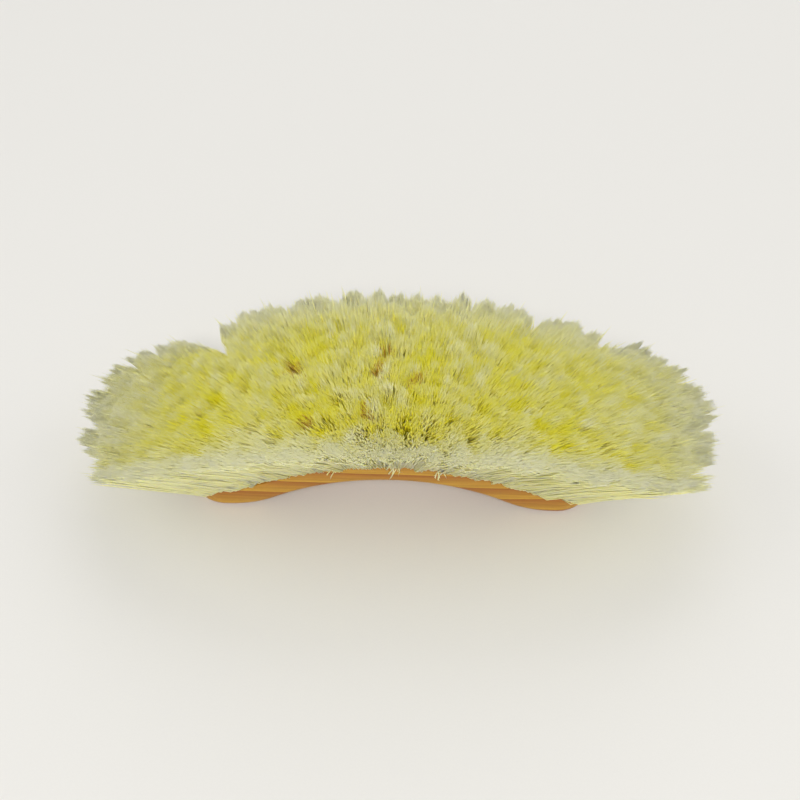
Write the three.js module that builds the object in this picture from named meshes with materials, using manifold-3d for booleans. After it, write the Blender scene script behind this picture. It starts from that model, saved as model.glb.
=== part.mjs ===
// Wooden finishing brush for grooming horses: an arched hand block with four rows of drilled
// tufts that fan out past its ends, each tuft folded under a wire anchor in its hole.
// Millimetres, +X along the block, +Z up. The brush lies bristles up on the two feet of its
// palm side, and the origin is on the surface under its middle.
import * as THREE from "three";
import { mergeGeometries, mergeVertices } from "three/addons/utils/BufferGeometryUtils.js";
import Module from "manifold-3d";

// Hand block
const BLOCK_LENGTH = 205;
const BLOCK_WIDTH = 54;
const BLOCK_THICKNESS = 14; // at the middle
const END_THICKNESS = 10;
const ARCH_RISE = 22; // palm hollow at the middle, above the feet
const FOOT_LENGTH = 14; // flat under each end
const NOSE_LENGTH = 6; // rounded end beyond each foot
const NOSE_FLAT = 1.2; // upright land left at the tip of the nose
const CORNER_RADIUS = 18; // in plan
const PALM_EDGE_RADIUS = 4;
const FACE_EDGE_RADIUS = 2;
const PALM_EDGE_LIMIT = 0.55; // most of the height that the palm edge takes at the nose
const FACE_EDGE_LIMIT = 0.4;
const FOOT_BLEND_RADIUS = 47; // between the palm hollow and a foot
const FACE_BLEND_RADIUS = 90; // between the crown of the bristle face and its ends

// Tuft holes
const ROW_NAMES = ["front_outer", "front_inner", "rear_inner", "rear_outer"];
const COLUMNS = 13; // tufts in an inner row; an outer row has one fewer, set between them
const END_MARGIN = 12.5; // from the last tuft to the end of the block
const SIDE_MARGIN = 5.75; // from an outer row to the side of the block
const HOLE_DIAMETER = 5.2;
const WOOD_UNDER_HOLES = 2; // below the shoulder of a hole square to the thinnest place
const DRILL_POINT = 1.5; // cone left by the drill
const HOLE_FAN_DEGREES = 40; // lean of the last holes toward the ends
const HOLE_LEAN_DEGREES = 14; // lean of the outer holes toward the sides

// Slice of the bristle face that carries the tufts, in three banks
const PANEL_THICKNESS = 1.4;
const PANEL_BORDER = 1; // around the outermost holes
const PANEL_CORNER_RADIUS = 12;
const MIDDLE_COLUMNS = 5; // tufts of an inner row in the middle bank

// Bristle strands
const STRANDS_ALONG = 2; // in each tuft, along the block
const STRANDS_ACROSS = 3;
const STRAND_SIDES = 3;
const ROOT_SPACING = 1; // between the strands of a tuft at their roots
const BEND_REACH = 16; // how far a strand holds the line of its hole
const KNEE_SHARE = 0.4; // of the way to the tip, where a strand turns into the fan
const KNEE_RADIUS = 1;
const TIP_RADIUS = 1.5;
const MIDDLE_TRIM = 50; // free length over the middle of the block
const END_TRIM = 68;
const END_FAN_DEGREES = 66; // splay of the last tufts past the ends
const SIDE_FAN_DEGREES = 24; // splay of the outer rows at the middle
const SIDE_FAN_AT_END_DEGREES = 13;

// Anchors of flat wire, each across its hole with its ends in the wall
const ANCHOR_THICKNESS = 0.5;
const ANCHOR_HEIGHT = 1.8;
const ANCHOR_BITE = 0.6; // into the wall at each end
const FOLD_HEIGHT = 1.5; // from the anchor to the foot of the fold
const FOLD_ROUND = 0.9; // corners at the foot of the fold

const FIT_GAP = 0.3; // between neighbouring pieces
const CUT_OVERRUN = 1; // how far a cut starts above the face

// Facets
const ARCH_STEPS = 10;
const CORNER_STEPS = 6;
const EDGE_STEPS = 3;
const HOLE_SIDES = 8;

const halfLength = BLOCK_LENGTH / 2;
const noseStart = halfLength - NOSE_LENGTH;
const footStart = noseStart - FOOT_LENGTH;
const cornerRadius = Math.min(CORNER_RADIUS, BLOCK_WIDTH / 2 - NOSE_FLAT);
const cornerStart = halfLength - cornerRadius;
const lastColumn = (COLUMNS - 1) / 2;
const lastRow = (ROW_NAMES.length - 1) / 2;
const columnPitch = (halfLength - END_MARGIN) / lastColumn;
const rowPitch = (BLOCK_WIDTH / 2 - SIDE_MARGIN) / lastRow;
const holeRadius = HOLE_DIAMETER / 2;
const panelLength = lastColumn * columnPitch + holeRadius + PANEL_BORDER; // from the middle, as is the width
const panelWidth = lastRow * rowPitch + holeRadius + PANEL_BORDER;
const holeDepth = Math.min(BLOCK_THICKNESS, END_THICKNESS) - WOOD_UNDER_HOLES;
const foldDepth = holeDepth - FIT_GAP;
const anchorDepth = foldDepth - FOLD_HEIGHT;
const rootDepth = anchorDepth - ANCHOR_HEIGHT - 2 * FIT_GAP; // where the strands start, above the anchor
const radians = THREE.MathUtils.degToRad;

const wasm = await Module();
wasm.setup();

// Closed geometry as a solid that can be joined and cut
function solid(geometry) {
  const bare = geometry.clone();
  bare.deleteAttribute("normal");
  bare.deleteAttribute("uv");
  const merged = mergeVertices(bare);
  const vertProperties = merged.getAttribute("position").array;
  const triVerts = new Uint32Array(merged.getIndex().array);
  return new wasm.Manifold(new wasm.Mesh({ numProp: 3, vertProperties, triVerts }));
}

function geometryOf(body) {
  const { vertProperties, triVerts } = body.getMesh();
  const geometry = new THREE.BufferGeometry();
  geometry.setAttribute("position", new THREE.BufferAttribute(vertProperties, 3));
  geometry.setIndex(new THREE.BufferAttribute(triVerts, 1));
  geometry.computeVertexNormals();
  return geometry;
}

// Skin over rings of equal point counts, which run counterclockwise seen from the last one, with flat caps
function loft(rings) {
  const size = rings[0].length;
  const last = (rings.length - 1) * size;
  const index = [];
  for (let start = 0; start < last; start += size) {
    for (let point = 0; point < size; point++) {
      const a = start + point;
      const b = start + ((point + 1) % size);
      index.push(a, b, b + size, a, b + size, a + size);
    }
  }
  for (let point = 1; point < size - 1; point++) {
    index.push(0, point + 1, point, last, last + point, last + point + 1);
  }
  return new THREE.BufferGeometry().setFromPoints(rings.flat()).setIndex(index);
}

// Height of a bow that is level at its middle, falls through a crown arc and levels out through a blend arc
function bow(x, rise, halfSpan, blendRadius) {
  const turn = 2 * Math.atan(rise / halfSpan);
  const crownRadius = halfSpan / Math.sin(turn) - blendRadius;
  const reach = Math.min(Math.abs(x), halfSpan);
  if (reach < crownRadius * Math.sin(turn)) {
    return rise - crownRadius + Math.sqrt(crownRadius ** 2 - reach ** 2);
  }
  return blendRadius - Math.sqrt(blendRadius ** 2 - (halfSpan - reach) ** 2);
}

const palmHeight = (x) => bow(x, ARCH_RISE, footStart, FOOT_BLEND_RADIUS);

function faceHeight(x) {
  const rise = ARCH_RISE + BLOCK_THICKNESS - END_THICKNESS;
  return END_THICKNESS + bow(x, rise, halfLength, FACE_BLEND_RADIUS);
}

// Cross-section of the block at a station, with rounded palm and face edges
function blockSection(x) {
  const alongNose = Math.max(0, Math.abs(x) - noseStart) / NOSE_LENGTH;
  const alongCorner = Math.max(0, Math.abs(x) - cornerStart);
  const middle = (faceHeight(x) + palmHeight(x)) / 2;
  const fullHeight = faceHeight(x) - palmHeight(x);
  const height = NOSE_FLAT + (fullHeight - NOSE_FLAT) * Math.sqrt(Math.max(0, 1 - alongNose ** 2));
  const cornerWidth = Math.sqrt(Math.max(0, cornerRadius ** 2 - alongCorner ** 2));
  const halfWidth = BLOCK_WIDTH / 2 - cornerRadius + cornerWidth;
  const palmRadius = Math.min(PALM_EDGE_RADIUS, PALM_EDGE_LIMIT * height);
  const faceRadius = Math.min(FACE_EDGE_RADIUS, FACE_EDGE_LIMIT * height);

  const ring = [];
  const roundEdge = (side, upDown, radius, firstQuarter) => {
    const y = side * (halfWidth - radius);
    const z = middle + upDown * (height / 2 - radius);
    for (let step = 0; step <= EDGE_STEPS; step++) {
      const angle = (firstQuarter + step / EDGE_STEPS) * Math.PI / 2;
      ring.push(new THREE.Vector3(x, y + radius * Math.cos(angle), z + radius * Math.sin(angle)));
    }
  };
  roundEdge(-1, -1, palmRadius, 2);
  roundEdge(1, -1, palmRadius, 3);
  roundEdge(1, 1, faceRadius, 0);
  roundEdge(-1, 1, faceRadius, 1);
  return ring;
}

function blockStations() {
  const half = [noseStart];
  for (let step = 1; step <= ARCH_STEPS; step++) {
    half.push(footStart * step / ARCH_STEPS);
  }
  for (let step = 0; step <= CORNER_STEPS; step++) {
    half.push(cornerStart + cornerRadius * Math.sin(step / CORNER_STEPS * Math.PI / 2));
  }
  half.sort((a, b) => a - b);
  const mirrored = half.map((x) => -x).reverse();
  return [...mirrored, 0, ...half];
}

// Band across the whole block that follows the bristle face between two heights above it, in facets
// whose edges fall between the tufts
function faceBand(from, to, lower, upper) {
  const stations = [from, to];
  for (let place = 1.5 - COLUMNS; place < COLUMNS - 1; place++) {
    const x = place * columnPitch / 2;
    if (x > from && x < to) stations.push(x);
  }
  stations.sort((a, b) => a - b);
  const edge = (lift) => stations.map((x) => new THREE.Vector2(x, faceHeight(x) + lift));
  const outline = new THREE.Shape([...edge(lower), ...edge(upper).reverse()]);
  const band = new THREE.ExtrudeGeometry(outline, { depth: BLOCK_WIDTH, bevelEnabled: false });
  return solid(band.rotateX(Math.PI / 2).translate(0, BLOCK_WIDTH / 2, 0));
}

// Upright column over the plan of the tufted panel, with rounded corners
function panelColumn(grow) {
  const length = panelLength + grow;
  const width = panelWidth + grow;
  const radius = Math.min(PANEL_CORNER_RADIUS + grow, width);
  const outline = new THREE.Shape();
  outline.absarc(length - radius, width - radius, radius, 0, Math.PI / 2);
  outline.absarc(radius - length, width - radius, radius, Math.PI / 2, Math.PI);
  outline.absarc(radius - length, radius - width, radius, Math.PI, 1.5 * Math.PI);
  outline.absarc(length - radius, radius - width, radius, 1.5 * Math.PI, 2 * Math.PI);
  const depth = ARCH_RISE + BLOCK_THICKNESS + CUT_OVERRUN;
  const options = { depth, bevelEnabled: false, curveSegments: CORNER_STEPS };
  return solid(new THREE.ExtrudeGeometry(outline, options));
}

// Direction that leans along the block, then across it
function leaning(along, across) {
  const level = Math.cos(across);
  return new THREE.Vector3(Math.sin(along) * level, Math.sin(across), Math.cos(along) * level);
}

// Point on the bristle face at a column and row counted from the middle
function faceAt(column, row) {
  const x = column * columnPitch;
  return new THREE.Vector3(x, row * rowPitch, faceHeight(x));
}

// Places of the tufts of one row, each with the frame of its drilled hole
function tuftsInRow(row) {
  const count = Math.abs(row) === lastRow ? COLUMNS - 1 : COLUMNS;
  return Array.from({ length: count }, (_, place) => {
    const column = place - (count - 1) / 2;
    const along = radians(HOLE_FAN_DEGREES) * column / lastColumn;
    const across = radians(HOLE_LEAN_DEGREES) * row / lastRow;
    const axis = leaning(along, across);
    const lengthwise = new THREE.Vector3(0, 1, 0).cross(axis).normalize();
    const crosswise = axis.clone().cross(lengthwise);
    const frame = new THREE.Matrix4().makeBasis(lengthwise, crosswise, axis);
    return { column, row, axis, frame: frame.setPosition(faceAt(column, row)) };
  });
}

// Drilled hole with its mouth at the origin and its drill point down
function hole() {
  const profile = [
    new THREE.Vector2(0, -holeDepth - DRILL_POINT),
    new THREE.Vector2(holeRadius, -holeDepth),
    new THREE.Vector2(holeRadius, CUT_OVERRUN),
    new THREE.Vector2(0, CUT_OVERRUN),
  ];
  return new THREE.LatheGeometry(profile, HOLE_SIDES, Math.PI / HOLE_SIDES).rotateX(Math.PI / 2);
}

// Flat wire across the hole, thickened all round by a gap
function anchor(gap) {
  const thickness = ANCHOR_THICKNESS + 2 * gap;
  const length = HOLE_DIAMETER + 2 * (ANCHOR_BITE + gap);
  const height = ANCHOR_HEIGHT + 2 * gap;
  const wire = new THREE.BoxGeometry(thickness, length, height);
  return wire.translate(0, 0, ANCHOR_HEIGHT / 2 - anchorDepth);
}

// Root of a tuft, folded in a U under its anchor and squared to stand clear of the round hole
function fold() {
  const half = (holeRadius - FIT_GAP) * Math.SQRT1_2;
  const slot = ANCHOR_THICKNESS / 2 + FIT_GAP;
  const slotFoot = -anchorDepth - FIT_GAP;
  const slotTop = slotFoot + ANCHOR_HEIGHT + 2 * FIT_GAP;
  const outline = new THREE.Shape();
  outline.moveTo(half, CUT_OVERRUN).lineTo(-half, CUT_OVERRUN).lineTo(-half, FOLD_ROUND - foldDepth);
  outline.lineTo(FOLD_ROUND - half, -foldDepth).lineTo(half - FOLD_ROUND, -foldDepth);
  outline.lineTo(half, FOLD_ROUND - foldDepth).closePath();
  const window = new THREE.Path();
  window.moveTo(-slot, slotFoot).lineTo(-slot, slotTop).lineTo(slot, slotTop).lineTo(slot, slotFoot);
  outline.holes.push(window.closePath());
  const pulled = new THREE.ExtrudeGeometry(outline, { depth: 2 * half, bevelEnabled: false });
  return pulled.translate(0, 0, -half).rotateX(Math.PI / 2);
}

// Lock of bristle that leaves its hole along the drilling and turns to its place in the fan
function strand(tuft, along, across) {
  const column = tuft.column + along / STRANDS_ALONG;
  const row = tuft.row + across / STRANDS_ACROSS;
  const share = column / lastColumn;
  const sideFan = THREE.MathUtils.lerp(SIDE_FAN_DEGREES, SIDE_FAN_AT_END_DEGREES, share ** 2);
  const splay = leaning(radians(END_FAN_DEGREES) * share, radians(sideFan) * row / lastRow);
  const trim = THREE.MathUtils.lerp(MIDDLE_TRIM, END_TRIM, share ** 2);

  const root = new THREE.Vector3(along * ROOT_SPACING, across * ROOT_SPACING, -rootDepth);
  root.applyMatrix4(tuft.frame);
  const bend = root.clone().addScaledVector(tuft.axis, rootDepth + BEND_REACH);
  const tip = faceAt(column, row).addScaledVector(splay, trim);
  const path = new THREE.QuadraticBezierCurve3(root, bend, tip);
  return spread([root, path.getPoint(KNEE_SHARE), tip], [KNEE_RADIUS, TIP_RADIUS]);
}

// Lock that starts from a point and widens through one ring at each later point, with a cut end
function spread([root, ...points], radii) {
  const rings = points.map((point, place) => {
    const tangent = point.clone().sub(place ? points[place - 1] : root).normalize();
    const first = new THREE.Vector3(0, 1, 0).cross(tangent).normalize();
    const second = tangent.clone().cross(first);
    return Array.from({ length: STRAND_SIDES }, (_, side) => {
      const angle = side / STRAND_SIDES * 2 * Math.PI;
      const corner = point.clone().addScaledVector(first, radii[place] * Math.cos(angle));
      return corner.addScaledVector(second, radii[place] * Math.sin(angle));
    });
  });
  return loft([Array(STRAND_SIDES).fill(root), ...rings]);
}

function strandsOf(tuft) {
  const strands = [];
  for (let place = 0; place < STRANDS_ALONG; place++) {
    for (let side = 0; side < STRANDS_ACROSS; side++) {
      strands.push(strand(tuft, place - (STRANDS_ALONG - 1) / 2, side - (STRANDS_ACROSS - 1) / 2));
    }
  }
  return strands;
}

function atTufts(shape, tufts) {
  return solid(mergeGeometries(tufts.map((tuft) => shape.clone().applyMatrix4(tuft.frame))));
}

function blockGeometry(tufts) {
  const block = solid(loft(blockStations().map(blockSection)));
  const reach = panelLength + FIT_GAP;
  const band = faceBand(-reach, reach, -PANEL_THICKNESS - FIT_GAP, CUT_OVERRUN);
  const seat = band.intersect(panelColumn(FIT_GAP));
  const slots = atTufts(anchor(FIT_GAP), tufts);
  return geometryOf(block.subtract(seat).subtract(atTufts(hole(), tufts)).subtract(slots));
}

// Bank of tufts between two stations: its slice of the face, the folded roots below and the strands above
function bankGeometry(from, to, tufts) {
  const bank = tufts.filter(({ column }) => column * columnPitch > from && column * columnPitch < to);
  const panel = faceBand(from, to, -PANEL_THICKNESS, 0).intersect(panelColumn(0));
  const belowFace = faceBand(-panelLength, panelLength, -BLOCK_THICKNESS, -PANEL_THICKNESS / 2);
  const folds = atTufts(fold(), bank).intersect(belowFace);
  const strands = solid(mergeGeometries(bank.flatMap(strandsOf)));
  return geometryOf(panel.add(folds).add(strands));
}

const wood = new THREE.MeshStandardMaterial({ color: 0xb98a45, roughness: 0.45, metalness: 0 });
const bristle = new THREE.MeshStandardMaterial({ color: 0xc4bd8a, roughness: 0.7, metalness: 0 });
const steel = new THREE.MeshStandardMaterial({ color: 0xb4b6b8, roughness: 0.35, metalness: 1 });

function piece(name, geometry, material) {
  const mesh = new THREE.Mesh(geometry, material);
  mesh.name = name;
  return mesh;
}

const rows = ROW_NAMES.map((_, place) => tuftsInRow(place - lastRow));
const tufts = rows.flat();
const brush = new THREE.Group();
brush.add(piece("back_block", blockGeometry(tufts), wood));

const joint = (Math.floor(MIDDLE_COLUMNS / 2) + 0.25) * columnPitch; // between an inner and an outer tuft
const inner = joint - FIT_GAP / 2;
const outer = joint + FIT_GAP / 2;
brush.add(piece("bristles_left", bankGeometry(-panelLength, -outer, tufts), bristle));
brush.add(piece("bristles_middle", bankGeometry(-inner, inner, tufts), bristle));
brush.add(piece("bristles_right", bankGeometry(outer, panelLength, tufts), bristle));

const anchorGeometry = anchor(0);
rows.forEach((row, place) => row.forEach((tuft, number) => {
  const count = String(number + 1).padStart(2, "0");
  const mesh = piece(`anchor_${ROW_NAMES[place]}_${count}`, anchorGeometry, steel);
  mesh.applyMatrix4(tuft.frame);
  brush.add(mesh);
}));

export default brush;
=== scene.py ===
import math

import bmesh
import bpy
import numpy as np
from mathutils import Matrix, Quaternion, Vector


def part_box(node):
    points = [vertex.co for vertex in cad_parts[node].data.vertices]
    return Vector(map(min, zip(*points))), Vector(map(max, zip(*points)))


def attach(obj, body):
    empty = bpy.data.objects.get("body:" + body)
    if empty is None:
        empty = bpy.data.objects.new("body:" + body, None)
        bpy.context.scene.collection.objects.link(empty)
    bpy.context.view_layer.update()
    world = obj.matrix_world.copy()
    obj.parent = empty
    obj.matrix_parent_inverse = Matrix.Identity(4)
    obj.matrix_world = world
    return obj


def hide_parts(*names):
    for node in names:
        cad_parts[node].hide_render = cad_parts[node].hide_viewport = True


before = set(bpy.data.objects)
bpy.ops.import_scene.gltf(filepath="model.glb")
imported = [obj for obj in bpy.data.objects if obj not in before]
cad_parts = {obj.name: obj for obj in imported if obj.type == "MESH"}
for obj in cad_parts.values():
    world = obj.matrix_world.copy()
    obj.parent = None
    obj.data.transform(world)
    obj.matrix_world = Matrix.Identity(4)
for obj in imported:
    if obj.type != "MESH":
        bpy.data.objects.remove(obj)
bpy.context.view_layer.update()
scene = bpy.context.scene
scene.view_settings.view_transform = "Standard"
mm = 0.001

# Camera at the photograph's angle, a little right of straight on
cameraView = {
    "target": (3.8, 8.0, 45.4),  # mm
    "distance": 560,
    "turn": 1.4,  # degrees
    "height": 47,
    "roll": 0.25,
    "lens": 50,
}


def addCamera(view):
    turn, height = math.radians(view["turn"]), math.radians(view["height"])
    level = math.cos(height)
    back = Vector((math.sin(turn) * level, -math.cos(turn) * level, math.sin(height)))
    data = bpy.data.cameras.new("camera")
    data.lens = view["lens"]
    camera = bpy.data.objects.new("camera", data)
    scene.collection.objects.link(camera)
    camera.location = (Vector(view["target"]) + back * view["distance"]) * mm
    aim = (-back).to_track_quat("-Z", "Y") @ Quaternion((0, 0, 1), math.radians(view["roll"]))
    camera.rotation_euler = aim.to_euler()
    scene.camera = camera


addCamera(cameraView)
print("camera placed")


# Small helpers for every material

def linear(hexColour):
    # sRGB hex to the linear colour that a socket takes
    channels = [int(hexColour[place:place + 2], 16) / 255 for place in (1, 3, 5)]
    return [c / 12.92 if c < 0.04045 else ((c + 0.055) / 1.055) ** 2.4 for c in channels] + [1]


def addNode(tree, kind, inputs=None, **settings):
    # one node with its settings, and its inputs set to values or linked to sockets
    node = tree.nodes.new(kind)
    for name, value in settings.items():
        setattr(node, name, value)
    for name, value in (inputs or {}).items():
        if isinstance(value, bpy.types.NodeSocket):
            tree.links.new(value, node.inputs[name])
        else:
            node.inputs[name].default_value = value
    return node


def newMaterial(name):
    material = bpy.data.materials.new(name)
    material.use_nodes = True
    tree = material.node_tree
    tree.nodes.clear()
    return material, tree


def showPiece(piece, material, slot, *nodes):
    piece.data.materials.clear()
    piece.data.materials.append(material)
    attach(piece, "root")
    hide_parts(*nodes)


# Materials

lacquer = {
    "streakLength": 45,  # mm
    "streakWidth": 1.6,
    "ringSpacing": 8.0,
    "wavePeriod": 0.314,  # of the wave texture at a scale of 1
    "poreLength": 3.0,
    "poreWidth": 0.25,
    "pale": "#d2a232",
    "warm": "#a8641a",
    "dark": "#7e430f",
}


def lacqueredBeech(look):
    # Sawn beech under amber lacquer: long streaks and faint rings run straight through the arch, with
    # short pores, and the lacquer gives a soft gloss.
    material, tree = newMaterial("lacquered_beech")
    place = addNode(tree, "ShaderNodeTexCoord").outputs["Object"]
    along = 1 / (look["streakLength"] * mm)
    across = 1 / (look["streakWidth"] * mm)
    streakPlace = addNode(tree, "ShaderNodeMapping", {"Vector": place, "Scale": (along, across, across)})
    streaks = addNode(
        tree, "ShaderNodeTexNoise",
        {"Vector": streakPlace.outputs[0], "Scale": 1, "Detail": 4, "Roughness": 0.55, "Distortion": 0.4})
    ringPlace = addNode(
        tree, "ShaderNodeMapping",
        {"Vector": place, "Rotation": (math.radians(24), math.radians(1.5), 0), "Scale": (0.12, 1, 1)})
    ringScale = look["wavePeriod"] / (look["ringSpacing"] * mm)
    rings = addNode(
        tree, "ShaderNodeTexWave",
        {"Vector": ringPlace.outputs[0], "Scale": ringScale, "Distortion": 5,
         "Detail": 3, "Detail Scale": 0.8},
        bands_direction="Z", wave_profile="SAW")
    poresAlong = 1 / (look["poreLength"] * mm)
    poresAcross = 1 / (look["poreWidth"] * mm)
    porePlace = addNode(
        tree, "ShaderNodeMapping", {"Vector": place, "Scale": (poresAlong, poresAcross, poresAcross)})
    pores = addNode(tree, "ShaderNodeTexNoise", {"Vector": porePlace.outputs[0], "Scale": 1, "Detail": 1})
    poreDepth = addNode(
        tree, "ShaderNodeMapRange",
        {"Value": pores.outputs["Fac"], "From Min": 0.62, "From Max": 0.74, "To Min": 0, "To Max": 1})

    ground = addNode(
        tree, "ShaderNodeMix",
        {0: rings.outputs["Fac"], 6: linear(look["pale"]), 7: linear(look["warm"])}, data_type="RGBA")
    streakShare = addNode(
        tree, "ShaderNodeMapRange",
        {"Value": streaks.outputs["Fac"], "From Min": 0.4, "From Max": 0.75, "To Min": 0, "To Max": 0.45})
    streaked = addNode(
        tree, "ShaderNodeMix",
        {0: streakShare.outputs[0], 6: ground.outputs[2], 7: linear(look["dark"])}, data_type="RGBA")
    poreShare = addNode(
        tree, "ShaderNodeMath", {0: poreDepth.outputs[0], 1: 0.35}, operation="MULTIPLY")
    colour = addNode(
        tree, "ShaderNodeMix",
        {0: poreShare.outputs[0], 6: streaked.outputs[2], 7: linear(look["dark"])}, data_type="RGBA")
    roughness = addNode(
        tree, "ShaderNodeMapRange",
        {"Value": streaks.outputs["Fac"], "From Min": 0.3, "From Max": 0.7, "To Min": 0.38, "To Max": 0.55})
    relief = addNode(
        tree, "ShaderNodeBump",
        {"Height": poreDepth.outputs[0], "Strength": 0.15, "Distance": 0.1 * mm}, invert=True)
    shader = addNode(
        tree, "ShaderNodeBsdfPrincipled",
        {"Base Color": colour.outputs[2], "Roughness": roughness.outputs[0], "IOR": 1.5,
         "Coat Weight": 0.2, "Coat Roughness": 0.25, "Normal": relief.outputs[0]})
    addNode(tree, "ShaderNodeOutputMaterial", {"Surface": shader.outputs[0]})
    return material


fibreLook = {
    # painted shade: browner near the roots, deep in the bed
    "root": "#cc961c",
    "deep": "#f6dc06",
    "body": "#f4e61c",
    # painted highlight at the tips
    "tip": "#ece26c",
    # painted sheen on the outermost fibres
    "outside": "#f4f0ba",
    # painted shade in the slits
    "slitShade": "#bc9234",
}


def bristleFibre(look):
    # Fine crimped nylon, yellow in the depth of the bed. Light and shade are painted on it: browner towards
    # the roots as painted shade, cream at the tips partly as a painted highlight on proud locks and partly
    # as tone that differs at random, cream all along the outermost fibres as painted sheen, and brown beside
    # the slits as painted shade. The map runs along each fibre, and its height is how pale the fibre is.
    material, tree = newMaterial("bristle_fibre")
    place = addNode(
        tree, "ShaderNodeSeparateXYZ", {0: addNode(tree, "ShaderNodeUVMap", uv_map="OFBake").outputs[0]})
    along, pale = place.outputs["X"], place.outputs["Y"]
    # painted shade: browner towards the roots
    rise = addNode(
        tree, "ShaderNodeMapRange", {"Value": along, "From Min": 0.1, "From Max": 0.35})
    lower = addNode(
        tree, "ShaderNodeMix",
        {0: rise.outputs[0], 6: linear(look["root"]), 7: linear(look["deep"])}, data_type="RGBA")
    bodyShare = addNode(
        tree, "ShaderNodeMapRange", {"Value": along, "From Min": 0.6, "From Max": 0.85})
    body = addNode(
        tree, "ShaderNodeMix",
        {0: bodyShare.outputs[0], 6: lower.outputs[2], 7: linear(look["body"])}, data_type="RGBA")
    # painted highlight: the tips go cream as far as the fibre is pale, partly from proud locks, partly
    # random tone
    tipReach = addNode(
        tree, "ShaderNodeMapRange", {"Value": along, "From Min": 0.7, "From Max": 0.97},
        interpolation_type="SMOOTHSTEP")
    tipPale = addNode(tree, "ShaderNodeMapRange", {"Value": pale, "From Min": 0.1, "From Max": 0.45})
    tipShare = addNode(
        tree, "ShaderNodeMath", {0: tipReach.outputs[0], 1: tipPale.outputs[0]}, operation="MULTIPLY")
    inner = addNode(
        tree, "ShaderNodeMix",
        {0: tipShare.outputs[0], 6: body.outputs[2], 7: linear(look["tip"])}, data_type="RGBA")
    # painted sheen: the outermost fibres go cream all along
    outsideShare = addNode(tree, "ShaderNodeMapRange", {"Value": pale, "From Min": 0.4, "From Max": 0.95})
    sheenPainted = addNode(
        tree, "ShaderNodeMix",
        {0: outsideShare.outputs[0], 6: inner.outputs[2], 7: linear(look["outside"])}, data_type="RGBA")
    # painted shade: brown on fibres beside a slit, all along but for their tips
    slitShadeShare = addNode(
        tree, "ShaderNodeMapRange",
        {"Value": pale, "From Min": 0.04, "From Max": 0.08, "To Min": 1, "To Max": 0})
    slitShadeReach = addNode(
        tree, "ShaderNodeMapRange",
        {"Value": along, "From Min": 0.95, "From Max": 1, "To Min": 1, "To Max": 0})
    slitShade = addNode(
        tree, "ShaderNodeMath", {0: slitShadeShare.outputs[0], 1: slitShadeReach.outputs[0]}, operation="MULTIPLY")
    colour = addNode(
        tree, "ShaderNodeMix",
        {0: slitShade.outputs[0], 6: sheenPainted.outputs[2], 7: linear(look["slitShade"])}, data_type="RGBA")
    roughness = addNode(
        tree, "ShaderNodeMapRange",
        {"Value": along, "From Min": 0.7, "From Max": 1, "To Min": 0.5, "To Max": 0.7})
    shader = addNode(
        tree, "ShaderNodeBsdfPrincipled",
        {"Base Color": colour.outputs[2], "Roughness": roughness.outputs[0], "IOR": 1.5,
         "Specular IOR Level": 0.3, "Subsurface Weight": 0.8, "Subsurface Radius": (1, 0.9, 0.4),
         "Subsurface Scale": 0.4 * mm})
    addNode(tree, "ShaderNodeOutputMaterial", {"Surface": shader.outputs[0]})
    return material


wireLook = {
    "marksPerMetre": (4000, 300, 4000),  # 0.25 mm wide and 3.3 mm long
    "dull": "#9fa2a6",
    "bright": "#c6c8ca",
}


def anchorWire(look):
    # Drawn steel wire: a dull metal gleam, with fine marks along it from the die.
    material, tree = newMaterial("drawn_steel_wire")
    place = addNode(tree, "ShaderNodeTexCoord").outputs["Object"]
    stretched = addNode(tree, "ShaderNodeMapping", {"Vector": place, "Scale": look["marksPerMetre"]})
    marks = addNode(tree, "ShaderNodeTexNoise", {"Vector": stretched.outputs[0], "Scale": 1, "Detail": 2})
    tint = addNode(
        tree, "ShaderNodeMix",
        {0: marks.outputs["Fac"], 6: linear(look["dull"]), 7: linear(look["bright"])}, data_type="RGBA")
    roughness = addNode(
        tree, "ShaderNodeMapRange", {"Value": marks.outputs["Fac"], "To Min": 0.3, "To Max": 0.5})
    shader = addNode(
        tree, "ShaderNodeBsdfPrincipled",
        {"Base Color": tint.outputs[2], "Metallic": 1, "Roughness": roughness.outputs[0]})
    addNode(tree, "ShaderNodeOutputMaterial", {"Surface": shader.outputs[0]})
    return material


beech = lacqueredBeech(lacquer)
fibre = bristleFibre(fibreLook)
wire = anchorWire(wireLook)
print("materials made")


# Hand block: sections along the bow, joined into one smooth skin, with the tuft holes drilled

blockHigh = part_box("back_block")[1]
handBlock = {
    "halfLength": blockHigh.x / mm,  # mm from here on
    "halfWidth": blockHigh.y / mm,
    "crown": blockHigh.z / mm,
    "archRise": 22,
    "endThickness": 10,
    "footLength": 14,
    "noseLength": 6,
    "noseFlat": 1.2,
    "cornerRadius": 18,
    "palmEdge": 4,
    "faceEdge": 2,
    "palmEdgeLimit": 0.55,  # of the height of the section
    "faceEdgeLimit": 0.4,
    "footBlend": 47,  # mm, radius between the arch and its level ends
    "faceBlend": 90,
    "sharpAngle": 40,  # degrees
    "archSections": 36,
    "noseSections": 7,
    "palmSegments": 7,
    "faceSegments": 4,
}


def bow(x, rise, halfSpan, blend):
    # crown arc that turns into a blend arc and ends level
    turn = 2 * math.atan(rise / halfSpan)
    crown = halfSpan / math.sin(turn) - blend
    reach = np.minimum(np.abs(x), halfSpan)
    over = rise - crown + np.sqrt(np.maximum(crown ** 2 - reach ** 2, 0))
    under = blend - np.sqrt(np.maximum(blend ** 2 - (halfSpan - reach) ** 2, 0))
    return np.where(reach < crown * math.sin(turn), over, under)


def palmHeight(x):
    footStart = handBlock["halfLength"] - handBlock["noseLength"] - handBlock["footLength"]
    return bow(x, handBlock["archRise"], footStart, handBlock["footBlend"])


def faceHeight(x):
    rise = handBlock["crown"] - handBlock["endThickness"]
    return handBlock["endThickness"] + bow(x, rise, handBlock["halfLength"], handBlock["faceBlend"])


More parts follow.
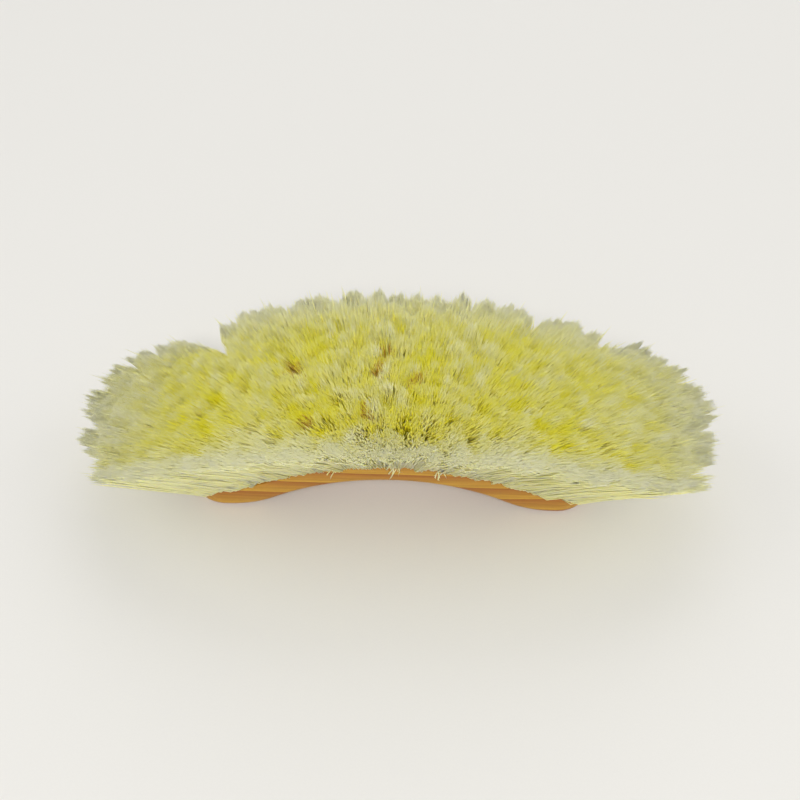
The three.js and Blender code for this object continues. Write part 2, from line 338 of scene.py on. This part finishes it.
def blockSection(bm, x):
    block = handBlock
    noseStart = block["halfLength"] - block["noseLength"]
    alongNose = max(0, abs(x) - noseStart) / block["noseLength"]
    alongCorner = max(0, abs(x) - block["halfLength"] + block["cornerRadius"])
    full = float(faceHeight(x) - palmHeight(x))
    middle = float(faceHeight(x) + palmHeight(x)) / 2
    height = block["noseFlat"] + (full - block["noseFlat"]) * math.sqrt(max(0, 1 - alongNose ** 2))
    corner = math.sqrt(max(0, block["cornerRadius"] ** 2 - alongCorner ** 2))
    wide = block["halfWidth"] - block["cornerRadius"] + corner
    low, high = middle - height / 2, middle + height / 2
    outline = ((-wide, low), (wide, low), (wide, high), (-wide, high))
    corners = [bm.verts.new((x, y, z)) for y, z in outline]
    bm.faces.new(corners)
    palmEdge = min(block["palmEdge"], block["palmEdgeLimit"] * height)
    faceEdge = min(block["faceEdge"], block["faceEdgeLimit"] * height)
    palmRound = (corners[:2], palmEdge, block["palmSegments"])
    faceRound = (corners[2:], faceEdge, block["faceSegments"])
    for verts, radius, segments in (palmRound, faceRound):
        bmesh.ops.bevel(
            bm, geom=verts, offset=radius, offset_type="OFFSET", affect="VERTICES",
            segments=segments, profile=0.5, material=-1)
    return bm.faces[:][-1]  # the rounded section


def blockStations():
    block = handBlock
    noseStart = block["halfLength"] - block["noseLength"]
    inner = [noseStart * step / block["archSections"] for step in range(1, block["archSections"] + 1)]
    quarter = math.pi / 2 / block["noseSections"]
    turns = [quarter * step for step in range(1, block["noseSections"] + 1)]
    nose = [noseStart + block["noseLength"] * math.sin(turn) for turn in turns]
    half = inner + nose
    return [-x for x in reversed(half)] + [0] + half


def blockSkin():
    bm = bmesh.new()
    sections = []
    for x in blockStations():
        bm.faces.ensure_lookup_table()
        sections.append(blockSection(bm, x))
        bm.faces.ensure_lookup_table()
    rings = [list(section.edges) for section in sections]
    bmesh.ops.delete(bm, geom=sections[1:-1], context="FACES_ONLY")
    for ring, nextRing in zip(rings, rings[1:]):
        bmesh.ops.bridge_loops(bm, edges=ring + nextRing)
    bmesh.ops.recalc_face_normals(bm, faces=bm.faces)
    bmesh.ops.scale(bm, vec=(mm, mm, mm), verts=bm.verts)
    return bm


# Tufts: each wire anchor gives the place and lean of its hole

tuftHole = {
    "radius": 2.6,  # mm
    "depth": 8,
    "drillPoint": 1.5,
    "countersink": 0.5,
    "anchorToMouth": 5.3,
    "overrun": 1,
    "steps": 20,
}
rowNames = ["front_outer", "front_inner", "rear_inner", "rear_outer"]


def readTuft(name):
    corners = np.unique([np.round(v.co, 7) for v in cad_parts[name].data.vertices], axis=0)
    centre = corners.mean(0)
    # the flat wire is longest across its hole, less so along it and thin the third way
    axis = np.linalg.svd(corners - centre)[2][1]
    axis = axis * np.sign(axis[2])
    rowName, number = name.removeprefix("anchor_").rsplit("_", 1)
    mouth = centre / mm + axis * tuftHole["anchorToMouth"]
    return {"rowName": rowName, "number": int(number), "axis": axis, "mouth": mouth}


def readTufts():
    tufts = [readTuft(name) for name in sorted(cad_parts) if name.startswith("anchor_")]
    for tuft in tufts:
        count = sum(other["rowName"] == tuft["rowName"] for other in tufts)
        tuft["column"] = tuft["number"] - (count + 1) / 2
        tuft["row"] = rowNames.index(tuft["rowName"]) - (len(rowNames) - 1) / 2
    return tufts


def drillMesh(tufts):
    hole = tuftHole
    flare = hole["radius"] + hole["countersink"]
    profile = [
        (0, -hole["depth"] - hole["drillPoint"]),
        (hole["radius"], -hole["depth"]),
        (hole["radius"], -hole["countersink"]),
        (flare, 0),
        (flare, hole["overrun"]),
        (0, hole["overrun"]),
    ]
    bm = bmesh.new()
    for tuft in tufts:
        verts = [bm.verts.new((x, 0, z)) for x, z in profile]
        edges = [bm.edges.new(pair) for pair in zip(verts, verts[1:])]
        before = set(bm.verts) - set(verts)
        bmesh.ops.spin(
            bm, geom=verts + edges, axis=(0, 0, 1), cent=(0, 0, 0), angle=2 * math.pi,
            steps=hole["steps"], use_merge=True)
        turned = [v for v in bm.verts if v not in before]
        lean = Vector((0, 0, 1)).rotation_difference(Vector(tuft["axis"])).to_matrix()
        bmesh.ops.transform(bm, matrix=lean.to_4x4(), verts=turned)
        bmesh.ops.translate(bm, vec=tuft["mouth"], verts=turned)
    bmesh.ops.remove_doubles(bm, verts=bm.verts, dist=0.001)
    bmesh.ops.recalc_face_normals(bm, faces=bm.faces)
    bmesh.ops.scale(bm, vec=(mm, mm, mm), verts=bm.verts)
    return bm


def meshObject(name, bm):
    mesh = bpy.data.meshes.new(name)
    bm.to_mesh(mesh)
    bm.free()
    piece = bpy.data.objects.new(name, mesh)
    scene.collection.objects.link(piece)
    return piece


def evaluatedMesh(piece):
    return bpy.data.meshes.new_from_object(piece.evaluated_get(bpy.context.evaluated_depsgraph_get()))


def addBlock(tufts):
    block = meshObject("hand_block", blockSkin())
    drills = meshObject("drills", drillMesh(tufts))
    cut = block.modifiers.new("tuft_holes", "BOOLEAN")
    cut.operation = "DIFFERENCE"
    cut.solver = "EXACT"
    cut.object = drills
    drilled = evaluatedMesh(block)
    block.modifiers.clear()
    block.data = drilled
    bpy.data.objects.remove(drills)
    drilled.shade_smooth()
    drilled.set_sharp_from_angle(angle=math.radians(handBlock["sharpAngle"]))
    showPiece(block, beech, "varnished_wood", "back_block")
    return block


tufts = readTufts()
handPiece = addBlock(tufts)
print("hand block made,", len(handPiece.data.polygons), "faces")

# Bristles: the fibres of a tuft leave their hole, spread, and gather in locks at their places in the fan. A
# place is counted in columns and rows of tufts from the middle of the bed. A spot is a share of a tuft's own
# place, from -0.5 to 0.5 each way.

lastColumn = max(tuft["column"] for tuft in tufts)
lastRow = max(tuft["row"] for tuft in tufts)
bristleBed = {
    "columnPitch": max(tuft["mouth"][0] for tuft in tufts) / lastColumn,  # mm
    "rowPitch": max(tuft["mouth"][1] for tuft in tufts) / lastRow,
    "tipPitch": 27,  # between the tufts at their tips
    "middleTrim": 49.5,  # length of the fibres above the block
    "leftTrim": 66.5,
    "rightTrim": 71.5,
    "leftFan": 67,  # degrees, lean of the last columns
    "rightFan": 62.5,
    "frontFan": 28.5,  # degrees, lean of the outer rows in the middle of the bed, and at its ends
    "rearFan": 23.5,
    "leftSideFan": 8,
    "rightSideFan": 10.5,
    "leftCornerTrim": 6,  # mm taken off the front corners
    "rightCornerTrim": 1.5,
    "cornerFade": 8,  # power of the way out, so that only the last tufts lose it
    "pastLast": 0.3,  # how far the outermost tufts reach past their own place, of a pitch
    "middleBank": 2.25,  # columns each way in the middle bank
    "seed": 7,
}
bristleTuft = {
    "fibres": 56,  # along and across each tuft, and so are the locks
    "locks": 10,
    "bigLocks": 9,
    "overlap": 1.2,  # how far a tuft spreads at its tips, of its own place
    "gather": 0.2,  # how far the fibres of a lock draw together at their tips
    "bigGather": 0.1,
    "outlineGather": (0.1, 0.95),  # from big lock to big lock at the ends and the rear
    "outlinePoint": 7,  # mm, of a big lock that gathers to a point
    "outlineStart": 0.72,  # share of the way out from the middle of the bed
    "outlineFull": 0.98,
    "outlineSmooth": 0.5,  # share of the frizz that the outline loses
    "stray": 0.12,  # share of the fibres that stay out of the locks
    "fibreRadius": 0.26,  # mm, coarser than the real fibre, so that it shows
    "fibreRadiusSpread": 0.2,
    "lockLength": 0.6,  # mm, the spread of the trim from lock to lock and from fibre to fibre
    "fibreLength": 0.7,
    "lockPoint": 0.5,  # mm, how much lower a lock and a tuft are at their rims
    "tuftDome": 2.0,
    "partingDrop": 7,  # mm, how much lower the fibres are beside the widest parting
    "partingReach": 6,
    "lockSway": 0.5,  # mm, how far the locks sway, and how far their fibres stray at and below the tips
    "frizz": 0.9,
    "crimp": 0.6,
    "frontFrizz": 0.6,  # share of the frizz added at the front, and where that starts on the way out
    "frontFrizzStart": 0.5,
    "bank": (0.8, 45, 1),  # mm high, mm long and the seed of the waves of the trimmed face
    "ripple": (1.0, 12, 2),
    "sway": (1.0, 14, (3, 4, 5)),  # the same for the sway of the locks each way
    "wisps": 0.004,  # share of the fibres that escaped the trim, by these mm
    "wispLength": (2, 7),
    "rootDepth": 3.5,  # mm below the mouth of the hole
    "rootSpread": 0.3,  # of the hole's radius
    "bendReach": 6,  # mm above the mouth where the fibres bend out, and how far out
    "spread": 12,
    "turnIn": 0.55,  # where along its trim a fibre has turned into the fan
    "sideDensity": 1.8,  # the outer rows are denser towards their outer side
    "hangStart": 0.1,  # the spot from which they hang out over the block's edge, and what differs there
    "hangLoose": 0.7,  # share of the gathering that they lose
    "sideReach": 3.5,
    "sideDepth": 1.0,
    "sideSpread": 0.7,
    "overhang": -0.5,  # mm added to the spread in the middle of the bed and at its ends
    "endOverhang": -2.5,
    "sideFrizz": 0.7,  # mm
    "sideSway": 0.8,
    "sideRadius": 1.2,  # times the fibre's radius
}
# How pale the fibres are, from 0 in the depth to 1 at the outside, and what changes it: a painted highlight
# on proud locks, painted sheen on the outer shell, and tone that differs at random
fibreTone = {
    "middle": 0.4,
    "height": 0.09,  # painted highlight, for each mm that a lock stands proud
    "lock": 0.08,  # from lock to lock and from fibre to fibre
    "fibre": 0.04,
    # painted sheen: how much paler the outer shell is
    "outside": 0.53,
    "outsideEven": 0.6,  # share of the change between locks and fibres that the outside loses
    "endsStart": 0.6,  # share of the way out where the painted sheen starts
    "rearStart": 0.2,
    "frontStart": 0.8,
    "frontFullAtEnds": 0.92,  # share of the way out where it is full, at the ends of the front
    "least": 0.1,
    "most": 0.99,
    "slitShaded": 0.02,  # painted shade, beside a slit
    "slitShadeReach": 1.5,  # mm
}
fibrePlaces = np.array([0, 0.3, 0.9, 1])  # points along a fibre, and its width at each, of fibreRadius
fibreWidths = np.array([0, 0.9, 1.2, 0])

# Where the fibres part: the inner and the outer end of each parting, and half its width in mm
partings = [
    ((-3.4, 0.7), (-4.2, 1.95), 8.0),
    ((-5.4, -0.55), (-6.6, -0.05), 4.0),
    ((2.88, 1.0), (3.2, 1.95), 3.6),
    ((-5.5, 0.5), (-6.4, 1.25), 3.0),
    ((-5.35, 1.25), (-5.9, 1.95), 3.0),
    ((-4.95, 1.35), (-5.3, 1.95), 2.5),
    ((-3.1, 1.2), (-3.5, 1.95), 2.5),
    ((-2.15, 1.3), (-2.5, 1.95), 2.0),
    ((-1.1, 1.3), (-1.3, 1.95), 2.0),
    ((4.3, 1.35), (4.7, 1.95), 4.5),
    ((5.4, 1.3), (6.0, 1.9), 3.0),
    ((5.5, -0.25), (6.6, -0.1), 3.0),
    ((5.5, -1.0), (6.6, -1.15), 2.5),
]
# Slits in the trimmed face, where the depth of the bed shows, brown there as painted shade
slits = [
    ((-1.85, -0.27), (-2.08, 0.08), 4.5),
    ((-0.3, -0.35), (-0.12, 0.2), 3.8),
    ((-1.75, -1.15), (-1.6, -1.3), 1.3),
    ((-0.5, -0.95), (-0.42, -1.15), 1.4),
    ((0.42, -0.5), (0.58, -0.32), 1.2),
]
# Loose fibres that slipped over the front edge of the block
limpFibres = {
    "columns": (-1.9, 0.05, 1.65),
    "outermost": 0.8,  # only fibres that hang at least this much
    "share": 0.008,
    "reach": 1.2,  # mm past the edge
    "rise": 3,
    "drop": 5,
    "scatter": 1.0,
    "curl": 2.0,
    "freedom": (1, 0.3, 1),  # along the edge, out from it and up
}
driftWaves = {"count": 7, "stretch": (0.7, 1.5)}


def drift(places, size, seed):
    # smooth field of crossed waves over the tips, about one unit high
    waves = np.random.default_rng(seed)
    total = np.zeros(len(places))
    for _ in range(driftWaves["count"]):
        heading = waves.uniform(0, 2 * math.pi)
        pace = 2 * math.pi / (size * waves.uniform(*driftWaves["stretch"]))
        phase = waves.uniform(0, 2 * math.pi)
        ahead = places[:, 0] * math.cos(heading) + places[:, 1] * math.sin(heading)
        total += np.sin(ahead * pace + phase)
    return total / 2


def mixed(low, high, share):
    return low + (high - low) * share


def ramp(value, start, end):
    return np.clip((value - start) / (end - start), 0, 1)


def fanTrim(place):
    bed = bristleBed
    left = place[:, 0] < 0
    share = place[:, 0] / lastColumn
    trim = mixed(bed["middleTrim"], np.where(left, bed["leftTrim"], bed["rightTrim"]), share ** 2)
    corner = share ** bed["cornerFade"] * np.clip(-place[:, 1] / lastRow, 0, 1) ** 2
    return trim - np.where(left, bed["leftCornerTrim"], bed["rightCornerTrim"]) * corner


def fanDirection(place):
    bed = bristleBed
    left = place[:, 0] < 0
    share = place[:, 0] / lastColumn
    along = np.radians(np.where(left, bed["leftFan"], bed["rightFan"])) * share
    middleFan = np.where(place[:, 1] < 0, bed["frontFan"], bed["rearFan"])
    sideFan = mixed(middleFan, np.where(left, bed["leftSideFan"], bed["rightSideFan"]), share ** 2)
    across = np.radians(sideFan) * place[:, 1] / lastRow
    level = np.cos(across)
    return np.column_stack((np.sin(along) * level, np.sin(across), np.cos(along) * level))


def fanFoot(place):
    x = place[:, 0] * bristleBed["columnPitch"]
    return np.column_stack((x, place[:, 1] * bristleBed["rowPitch"], faceHeight(x)))


def jitteredGrid(count, rng):
    # one point in each cell of a unit square about the origin
    cells = np.stack(np.meshgrid(np.arange(count), np.arange(count)), -1).reshape(-1, 2)
    return (cells + rng.uniform(0, 1, cells.shape)) / count - 0.5


def placeInBed(spots, tuft):
    # the outermost tufts reach a little past their own place
    home = np.array([tuft["column"], tuft["row"]])
    last = np.array([lastColumn, lastRow])
    past = (spots * home > 0) & (np.abs(home) == last)
    return home + spots * np.where(past, 2 * bristleBed["pastLast"], 1)


def besideParting(tips, inner, outer, width):
    # the way from a parting to each tip, and the parting's half width there, which grows threefold outwards
    start = np.array(inner) * bristleBed["tipPitch"]
    line = np.array(outer) * bristleBed["tipPitch"] - start
    share = np.clip((tips - start) @ line / (line @ line), 0, 1)[:, None]
    return tips - start - share * line, width * (1 + 2 * share) / 3


def partedPlaces(place):
    # the fibres beside a parting draw away from it
    tips = place * bristleBed["tipPitch"]
    for parting in partings + slits:
        aside, half = besideParting(tips, *parting)
        tips = tips + aside * (np.hypot(1, half / np.linalg.norm(aside, axis=1, keepdims=True)) - 1)
    return tips / bristleBed["tipPitch"]


def partingEdge(place, lines, reach):
    # how close each tip is to a parting, and that times the parting's half width in mm
    tips = place * bristleBed["tipPitch"]
    close = np.zeros(len(tips))
    wide = np.zeros(len(tips))
    for parting in lines:
        aside, half = besideParting(tips, *parting)
        near = 1 - ramp(np.linalg.norm(aside, axis=1) - half[:, 0], 0, reach)
        close = np.maximum(close, near)
        wide = np.maximum(wide, near * half[:, 0])
    return close, wide


def nearestOf(spots, centres):
    return np.argmin(((spots[:, None] - centres) ** 2).sum(-1), axis=1)


def hangingSpots(spots, tuft):
    # the outer rows crowd towards their outer side, where hang rises to 1 over the edge of the block
    if abs(tuft["row"]) < lastRow:
        return spots, np.zeros((len(spots), 1))
    side = np.sign(tuft["row"])
    outward = side * (0.5 - (0.5 - side * spots[:, 1]) ** bristleTuft["sideDensity"])
    crowded = np.column_stack((spots[:, 0], outward))
    return crowded, ramp(side * crowded[:, 1:], bristleTuft["hangStart"], 0.5)


def bedShares(spots, tuft):
    # how much each fibre belongs to the toothed ends and rear, to the whole outline and to the outer shell
    # that gets the painted sheen, and how loose it is
    look, tone = bristleTuft, fibreTone
    wayOut = placeInBed(spots, tuft) / (np.array([lastColumn, lastRow]) + bristleBed["pastLast"])
    toEnds, toRear, toFront = np.abs(wayOut[:, 0]), wayOut[:, 1], -wayOut[:, 1]
    toothed = ramp(np.maximum(toEnds, toRear), look["outlineStart"], look["outlineFull"])
    outline = np.maximum(toothed, ramp(toFront, look["outlineStart"], look["outlineFull"]))
    shell = np.maximum(ramp(toEnds, tone["endsStart"], 1), ramp(toRear, tone["rearStart"], 1)) ** 2
    frontFull = mixed(1, tone["frontFullAtEnds"], toEnds ** 2)
    shell = np.maximum(shell, ramp(toFront, tone["frontStart"], frontFull))
    frontLoose = look["frontFrizz"] * ramp(toFront, look["frontFrizzStart"], 1)
    loose = 1 - look["outlineSmooth"] * toothed + frontLoose
    return toothed[:, None], outline, shell, loose[:, None]


def fromHole(spots, hang, tuft):
    # the root of each fibre in its hole, and its way out from the hole's axis
    look = bristleTuft
    disc = spots * 2 * np.abs(spots).max(1, keepdims=True) / np.linalg.norm(spots, axis=1, keepdims=True)
    disc = mixed(disc, 2 * spots, hang)
    sideways = np.cross((0, 1, 0), tuft["axis"])
    sideways = sideways / np.linalg.norm(sideways)
    rim = disc[:, :1] * sideways + disc[:, 1:] * np.cross(tuft["axis"], sideways)
    root = tuft["mouth"] - tuft["axis"] * mixed(look["rootDepth"], look["sideDepth"], hang)
    root = root + rim * tuftHole["radius"] * mixed(look["rootSpread"], look["sideSpread"], hang)
    return root, rim


def slipOver(tuft, hang, bend, turnIn, tip, rng):
    # a few fibres at the front hang down over the edge of the block instead
    limp = limpFibres
    for column in limp["columns"]:
        if tuft["row"] == -lastRow and abs(tuft["column"] - column) < 0.5:
            slipped = (hang > limp["outermost"]) & (rng.uniform(size=hang.shape) < limp["share"])
            edgeX = column * bristleBed["columnPitch"]
            edge = np.array([edgeX, -handBlock["halfWidth"] - limp["reach"], tuft["mouth"][2]])
            edge = edge + rng.normal(0, limp["scatter"], tip.shape) * limp["freedom"]
            curl = rng.normal(0, limp["curl"], tip.shape) * limp["freedom"]
            bend = np.where(slipped, edge + (0, 0, limp["rise"]), bend)
            turnIn = np.where(slipped, edge, turnIn)
            tip = np.where(slipped, edge + curl - (0, 0, limp["drop"]), tip)
    return bend, turnIn, tip


def bezier(start, first, second, end):
    t = fibrePlaces[None, :, None]
    u = 1 - t
    start, first, second, end = (p[:, None, :] for p in (start, first, second, end))
    return start * u ** 3 + 3 * first * t * u ** 2 + 3 * second * t ** 2 * u + end * t ** 3


def fibrePaleness(place, proud, shell, lockOf, rng):
    tone = fibreTone
    # paleness: a painted highlight on proud locks, painted sheen on the outer shell, and random tone
    pale = tone["middle"] + tone["height"] * proud * (1 - shell) + tone["outside"] * shell
    patchy = rng.normal(0, tone["lock"], bristleTuft["locks"] ** 2)[lockOf]
    patchy = patchy + rng.normal(0, tone["fibre"], len(place))
    pale = np.clip(pale + patchy * (1 - tone["outsideEven"] * shell), tone["least"], tone["most"])
    # painted shade: fibres beside a slit take the least paleness, which the material paints brown
    slitShaded = partingEdge(place, slits, tone["slitShadeReach"])[0] > rng.uniform(size=len(place))
    return np.where(slitShaded, tone["slitShaded"], pale)


def tuftFibres(tuft, rng):
    # points of every fibre, as fibres by points by 3, how pale each fibre is, and how thick
    look = bristleTuft
    spots = jitteredGrid(look["fibres"], rng)
    lockSpots = jitteredGrid(look["locks"], rng)
    bigSpots = jitteredGrid(look["bigLocks"], rng)
    count, lockCount = len(spots), len(lockSpots)
    spots, hang = hangingSpots(spots, tuft)
    toothed, outline, shell, loose = bedShares(spots, tuft)

    # locks, and the places of the tips
    lockOf, bigOf = nearestOf(spots, lockSpots), nearestOf(spots, bigSpots)
    kept = rng.uniform(size=(count, 1)) > look["stray"]
    tipSpots = mixed(spots, lockSpots[lockOf], look["gather"] * kept * (1 - look["hangLoose"] * hang))
    outlineGather = rng.uniform(*look["outlineGather"], (len(bigSpots), 1))[bigOf]
    tipSpots = mixed(tipSpots, bigSpots[bigOf], mixed(look["bigGather"], outlineGather, toothed))
    ownPlace = partedPlaces(placeInBed(spots, tuft))
    place = partedPlaces(placeInBed(tipSpots * look["overlap"], tuft))
    tips = place * bristleBed["tipPitch"]

    # the trimmed face
    fromLock = np.linalg.norm(spots - lockSpots[lockOf], axis=1) * look["locks"]
    fromBig = np.linalg.norm(spots - bigSpots[bigOf], axis=1) * look["bigLocks"]
    proud = rng.normal(0, look["lockLength"], lockCount)[lockOf] - look["lockPoint"] * fromLock ** 2
    for high, long, seed in (look["bank"], look["ripple"]):
        proud = proud + high * drift(tips, long, seed)
    proud = proud - look["tuftDome"] * (2 * np.abs(spots).max(1)) ** 4 * (1 - outline)
    widest = max(width for inner, outer, width in partings)
    parted = partingEdge(place, partings + slits, look["partingReach"])[1]
    lowered = look["partingDrop"] / widest * parted
    lowered = lowered + look["outlinePoint"] * fromBig ** 2 * (outlineGather * toothed)[:, 0]
    wisps = (rng.uniform(size=count) < look["wisps"]) * rng.uniform(*look["wispLength"], count)
    uneven = rng.normal(0, look["fibreLength"], count)
    trim = (fanTrim(place) + proud - lowered + wisps + uneven)[:, None]
    swayHigh, swayLong, swaySeeds = look["sway"]
    sway = swayHigh * np.column_stack([drift(tips, swayLong, seed) for seed in swaySeeds])
    sway = sway + rng.normal(0, look["lockSway"], (lockCount, 3))[lockOf]
    frizz = rng.normal(0, look["frizz"], (count, 3)) * loose
    tip = fanFoot(place) + fanDirection(place) * trim + sway + frizz

    # from the hole into the fan
    root, rim = fromHole(spots, hang, tuft)
    overhang = mixed(look["overhang"], look["endOverhang"], (tuft["column"] / lastColumn) ** 2)
    bend = tuft["mouth"] + tuft["axis"] * mixed(look["bendReach"], look["sideReach"], hang)
    bend = bend + rim * (look["spread"] + overhang * hang)
    bend = bend + rng.normal(0, look["sideFrizz"], (count, 3)) * hang
    bend = bend + rng.normal(0, look["sideSway"], (len(bigSpots), 3))[bigOf] * hang
    turnIn = fanFoot(ownPlace) + fanDirection(ownPlace) * trim * look["turnIn"]
    bend, turnIn, tip = slipOver(tuft, hang, bend, turnIn, tip, rng)
    points = bezier(root, bend, turnIn, tip)
    points[:, 1:3] += rng.normal(0, look["crimp"], (count, 2, 3))
    pale = fibrePaleness(place, proud, shell, lockOf, rng)
    return points, pale, mixed(1, look["sideRadius"], hang)


def fibreSection():
    # a three-sided section, wound so that the fibres' faces point outwards
    curve = bpy.data.curves.new("fibre_section", "CURVE")
    spline = curve.splines.new("POLY")
    spline.points.add(2)
    radius = bristleTuft["fibreRadius"] * mm
    for place, point in enumerate(spline.points):
        angle = -place * 2 * math.pi / 3
        point.co = (radius * math.cos(angle), radius * math.sin(angle), 0, 1)
    spline.use_cyclic_u = True
    section = bpy.data.objects.new("fibre_section", curve)
    scene.collection.objects.link(section)
    return section


def mapFibres(mesh, pale):
    # the curve's own map runs along and round each fibre, and the round part becomes a narrow band at the
    # fibre's paleness
    bandHeight = 0.01
    layer = mesh.uv_layers[0]
    layer.name = "OFBake"
    places = np.empty(len(mesh.loops) * 2, np.float32)
    layer.uv.foreach_get("vector", places)
    places = places.reshape(-1, 2)
    band = np.repeat(pale, len(places) // len(pale))
    places[:, 1] = band + bandHeight * (places[:, 1] - 0.5)
    places[:, 0] = np.interp(places[:, 0], np.linspace(0, 1, len(fibrePlaces)), fibrePlaces)
    layer.uv.foreach_set("vector", places.ravel())


def addTuft(tuft, section, rng):
    name = f"tuft_{tuft['rowName']}_{tuft['number']:02d}"
    points, pale, thickness = tuftFibres(tuft, rng)
    curve = bpy.data.curves.new(name, "CURVE")
    curve.dimensions = "3D"
    curve.bevel_mode = "OBJECT"
    curve.bevel_object = section
    spread = bristleTuft["fibreRadiusSpread"]
    widths = fibreWidths * thickness * rng.uniform(1 - spread, 1 + spread, (len(points), 1))
    homogeneous = np.concatenate((points * mm, np.ones(points.shape[:2] + (1,))), axis=2)
    for path, width in zip(homogeneous, widths):
        spline = curve.splines.new("POLY")
        spline.points.add(len(path) - 1)
        spline.points.foreach_set("co", path.ravel())
        spline.points.foreach_set("radius", width)
    strands = bpy.data.objects.new("strands", curve)
    scene.collection.objects.link(strands)
    mesh = evaluatedMesh(strands)
    bpy.data.objects.remove(strands)
    bpy.data.curves.remove(curve)
    mapFibres(mesh, pale)
    bm = bmesh.new()
    bm.from_mesh(mesh)
    bpy.data.meshes.remove(mesh)
    bmesh.ops.remove_doubles(bm, verts=bm.verts, dist=1e-7)  # closes each fibre at both ends
    piece = meshObject(name, bm)
    piece.data.shade_smooth()
    return piece


def bankOf(tuft):
    if abs(tuft["column"]) < bristleBed["middleBank"]:
        return "bristles_middle"
    return "bristles_left" if tuft["column"] < 0 else "bristles_right"


section = fibreSection()
rng = np.random.default_rng(bristleBed["seed"])
faceCount = 0
for tuft in tufts:
    piece = addTuft(tuft, section, rng)
    showPiece(piece, fibre, "bristle_fibre", bankOf(tuft))
    faceCount += sum(len(face.vertices) - 2 for face in piece.data.polygons)
bpy.data.objects.remove(section)
print("bristles made,", faceCount, "triangles")

# The anchors stay as the CAD has them, in wire
for name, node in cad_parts.items():
    if name.startswith("anchor_"):
        node.data.materials.clear()
        node.data.materials.append(wire)
print("anchors dressed")

# Pale floor and soft studio light

studio = {
    "floorSize": 6,  # m
    "floorDark": "#e6e4df",
    "floorPale": "#e9e7e2",
    "floorGrain": 900,  # per m, so grains of about 1.1 mm
    "worldStrength": 0.4,
    "backdrop": 0.85,  # strength of the world where the camera and reflections see it
}
# Places and sizes in m, power in W; the key lamp is behind the camera and shines down into the bed
lamps = {
    "key": {"place": (0.0, -1.86, 2.04), "size": 0.7, "power": 36},
    "fill": {"place": (0.0, -2.4, 0.7), "size": 1.2, "power": 2},
    "back": {"place": (0.2, 2.0, 1.5), "size": 2.0, "power": 17},
    "left": {"place": (-2.0, 0.3, 1.2), "size": 1.6, "power": 10},
    "right": {"place": (2.0, 0.3, 1.2), "size": 1.6, "power": 9},
}


def floorPaper(look):
    # Matte paper: nearly white, with a faint grain that keeps the floor from looking blank.
    material, tree = newMaterial("floor_paper")
    place = addNode(tree, "ShaderNodeTexCoord").outputs["Object"]
    grain = addNode(tree, "ShaderNodeTexNoise", {"Vector": place, "Scale": look["floorGrain"], "Detail": 2})
    tone = addNode(
        tree, "ShaderNodeMix",
        {0: grain.outputs["Fac"], 6: linear(look["floorDark"]), 7: linear(look["floorPale"])},
        data_type="RGBA")
    shader = addNode(
        tree, "ShaderNodeBsdfPrincipled", {"Base Color": tone.outputs[2], "Roughness": 0.9})
    addNode(tree, "ShaderNodeOutputMaterial", {"Surface": shader.outputs[0]})
    return material


def addFloor(look):
    bm = bmesh.new()
    bmesh.ops.create_grid(bm, x_segments=1, y_segments=1, size=look["floorSize"] / 2)
    floor = meshObject("floor", bm)
    floor.data.materials.append(floorPaper(look))


def addWorld(look):
    world = bpy.data.worlds.new("studio")
    world.use_nodes = True
    tree = world.node_tree
    tree.nodes.clear()
    ray = addNode(tree, "ShaderNodeLightPath").outputs
    seen = addNode(
        tree, "ShaderNodeMath", {0: ray["Is Camera Ray"], 1: ray["Is Glossy Ray"]}, operation="MAXIMUM")
    seen = addNode(
        tree, "ShaderNodeMath", {0: seen.outputs[0], 1: ray["Is Transmission Ray"]}, operation="MAXIMUM")
    strength = addNode(
        tree, "ShaderNodeMapRange",
        {"Value": seen.outputs[0], "To Min": look["worldStrength"], "To Max": look["backdrop"]})
    sky = addNode(
        tree, "ShaderNodeBackground", {"Color": (1, 1, 1, 1), "Strength": strength.outputs[0]})
    addNode(tree, "ShaderNodeOutputWorld", {"Surface": sky.outputs[0]})
    scene.world = world


def addLamp(name, look):
    lamp = bpy.data.lights.new(name, "AREA")
    lamp.size = look["size"]
    lamp.energy = look["power"]
    light = bpy.data.objects.new(name, lamp)
    light.location = look["place"]
    light.rotation_euler = (-light.location).to_track_quat("-Z", "Y").to_euler()
    scene.collection.objects.link(light)


addFloor(studio)
addWorld(studio)
for name, look in lamps.items():
    addLamp(name, look)
print("studio lit")
